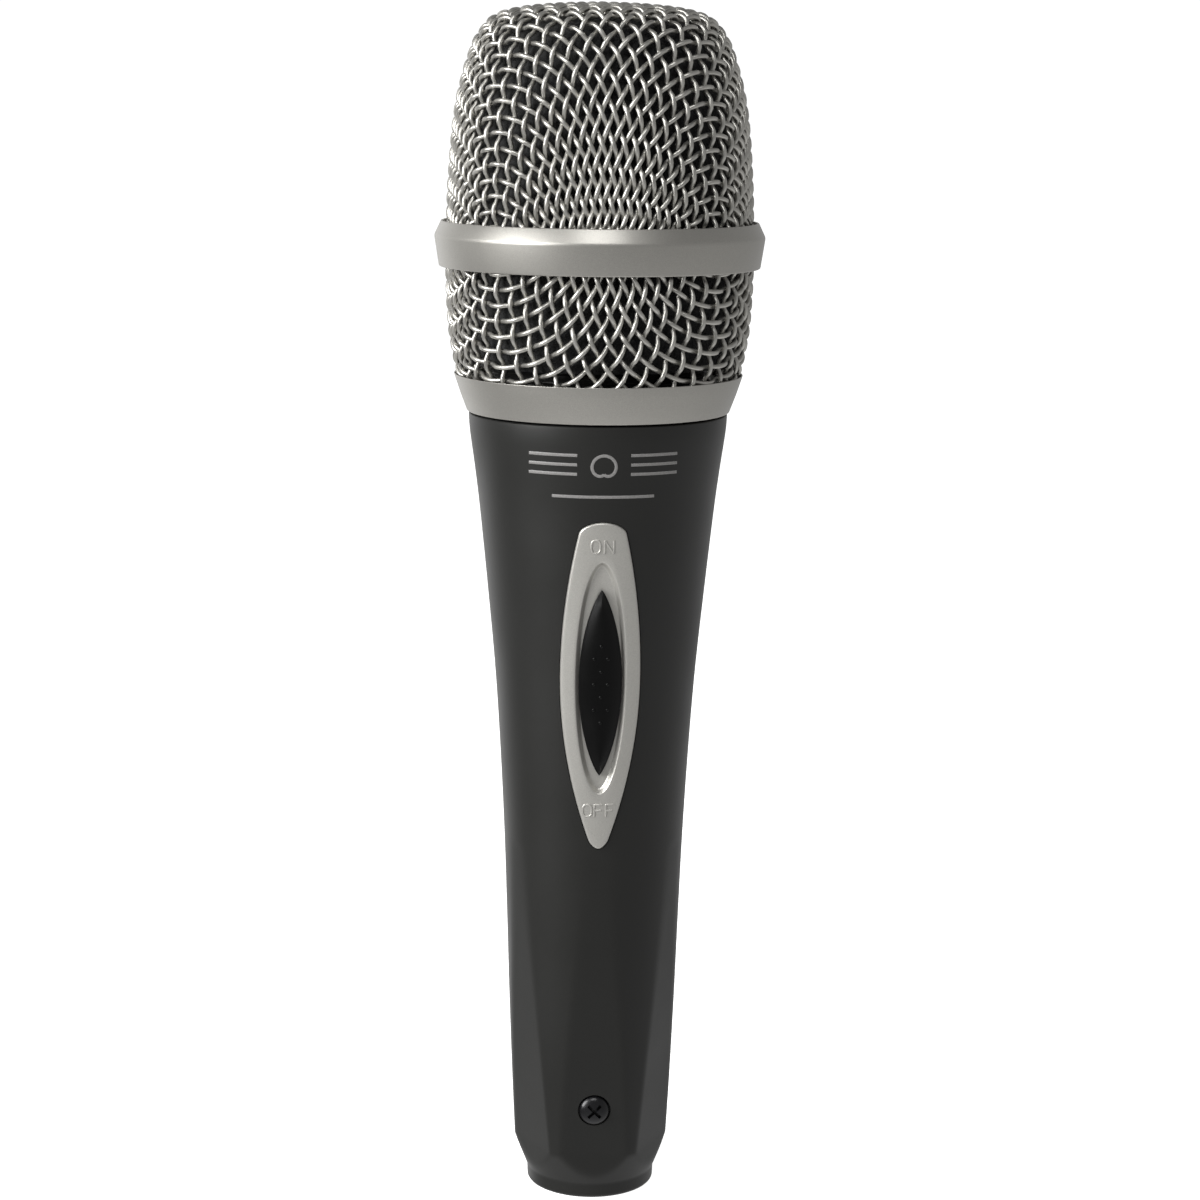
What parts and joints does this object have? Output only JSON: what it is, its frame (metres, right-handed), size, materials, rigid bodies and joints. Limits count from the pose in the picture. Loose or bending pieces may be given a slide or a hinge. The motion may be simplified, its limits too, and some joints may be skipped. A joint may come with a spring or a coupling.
{
  "type": "handheld dynamic microphone",
  "caption": "Handheld vocal microphone with woven-wire head, silver band and collar, flared metal handle, slide switch and three-pin tail socket.",
  "frame": {"origin": "on the microphone's axis, in the plane of the tail's end", "axes": "+Z along the axis from the tail to the head; the slide switch faces -Y; +X is to the right when looking at the switch"},
  "size_m": [0.053, 0.053, 0.1954],
  "materials": {
    "handle_paint": "fine satin charcoal paint on die-cast metal",
    "silver_paint": "satin silver paint with fine metallic flake",
    "switch_silver": "satin silver paint with fine metallic flake",
    "grille_wire": "satin plated round wire",
    "foam": "open-cell black foam",
    "rubber": "matt black rubber",
    "knob_plastic": "black plastic, satin",
    "black_plastic": "black moulded plastic",
    "white_plastic": "natural nylon",
    "zinc_steel": "zinc-plated steel",
    "black_steel": "blackened steel",
    "brass": "tinned brass",
    "nickel": "bright nickel plate",
    "phenolic": "brown phenolic board",
    "felt": "grey felt",
    "film": "clear polyester film",
    "copper": "enamelled copper wire",
    "iron": "plated soft iron",
    "ferrite": "dark magnet material",
    "red_lead": "red insulation",
    "green_lead": "green insulation",
    "yellow_lead": "yellow insulation",
    "black_lead": "black insulation"
  },
  "bodies": {
    "handle": {"handle_shell": "handle_paint", "switch_plate": "switch_silver", "switch_bracket": "zinc_steel", "switch_case": "zinc_steel", "switch_board": "phenolic", "switch_terminal_1": "brass", "switch_terminal_2": "brass", "switch_terminal_3": "brass", "switch_screw_lower": "zinc_steel", "switch_screw_upper": "zinc_steel", "xlr_insert": "black_plastic", "xlr_pin_1": "nickel", "xlr_pin_2": "nickel", "xlr_pin_3": "nickel", "insert_screw": "black_steel", "shock_mount": "rubber", "capsule_housing": "black_plastic", "capsule_frame": "white_plastic", "diaphragm_ring": "white_plastic", "front_grid": "black_plastic", "rear_felt": "felt", "yoke_cup": "iron", "magnet": "ferrite", "pole_plate": "iron", "lead_capsule_hot": "red_lead", "lead_capsule_cold": "green_lead", "lead_switch_hot": "yellow_lead", "lead_ground": "black_lead"},
    "switch": {"switch_knob": "knob_plastic", "switch_slider": "white_plastic", "switch_contact": "brass"},
    "cone": {"diaphragm": "film", "voice_coil": "copper"},
    "seal": {"neck_seal": "rubber"},
    "windscreen": {"windscreen_foam": "foam"},
    "head": {"grille_mesh_upper": "grille_wire", "grille_mesh_lower": "grille_wire", "grille_band": "silver_paint", "grille_collar": "silver_paint"}
  },
  "joints": [
    {"name": "switch_slide", "type": "slide", "parent": "handle", "child": "switch", "axis": [0, -0.0698, 0.9976], "range_m": [0, 0.002]},
    {"name": "diaphragm_travel", "type": "slide", "parent": "handle", "child": "cone", "axis": [0, 0, 1], "range_m": [-0.0003, 0.0003], "stiffness_N_per_m": 60},
    {"name": "head_rise", "type": "slide", "parent": "handle", "child": "seal", "axis": [0, 0, 1], "range_m": [0, 0.004]},
    {"name": "head_lift", "type": "slide", "parent": "seal", "child": "windscreen", "axis": [0, 0, 1], "range_m": [0, 0.06]},
    {"name": "head_turn", "type": "hinge", "parent": "windscreen", "child": "head", "pos_m": [0, 0, 0.1337], "axis": [0, 0, 1], "range_deg": [0, 1440]}
  ],
  "couplings": [
    {"joint": "head_turn", "follows": "head_rise", "rad_per_m": 6283.1}
  ]
}
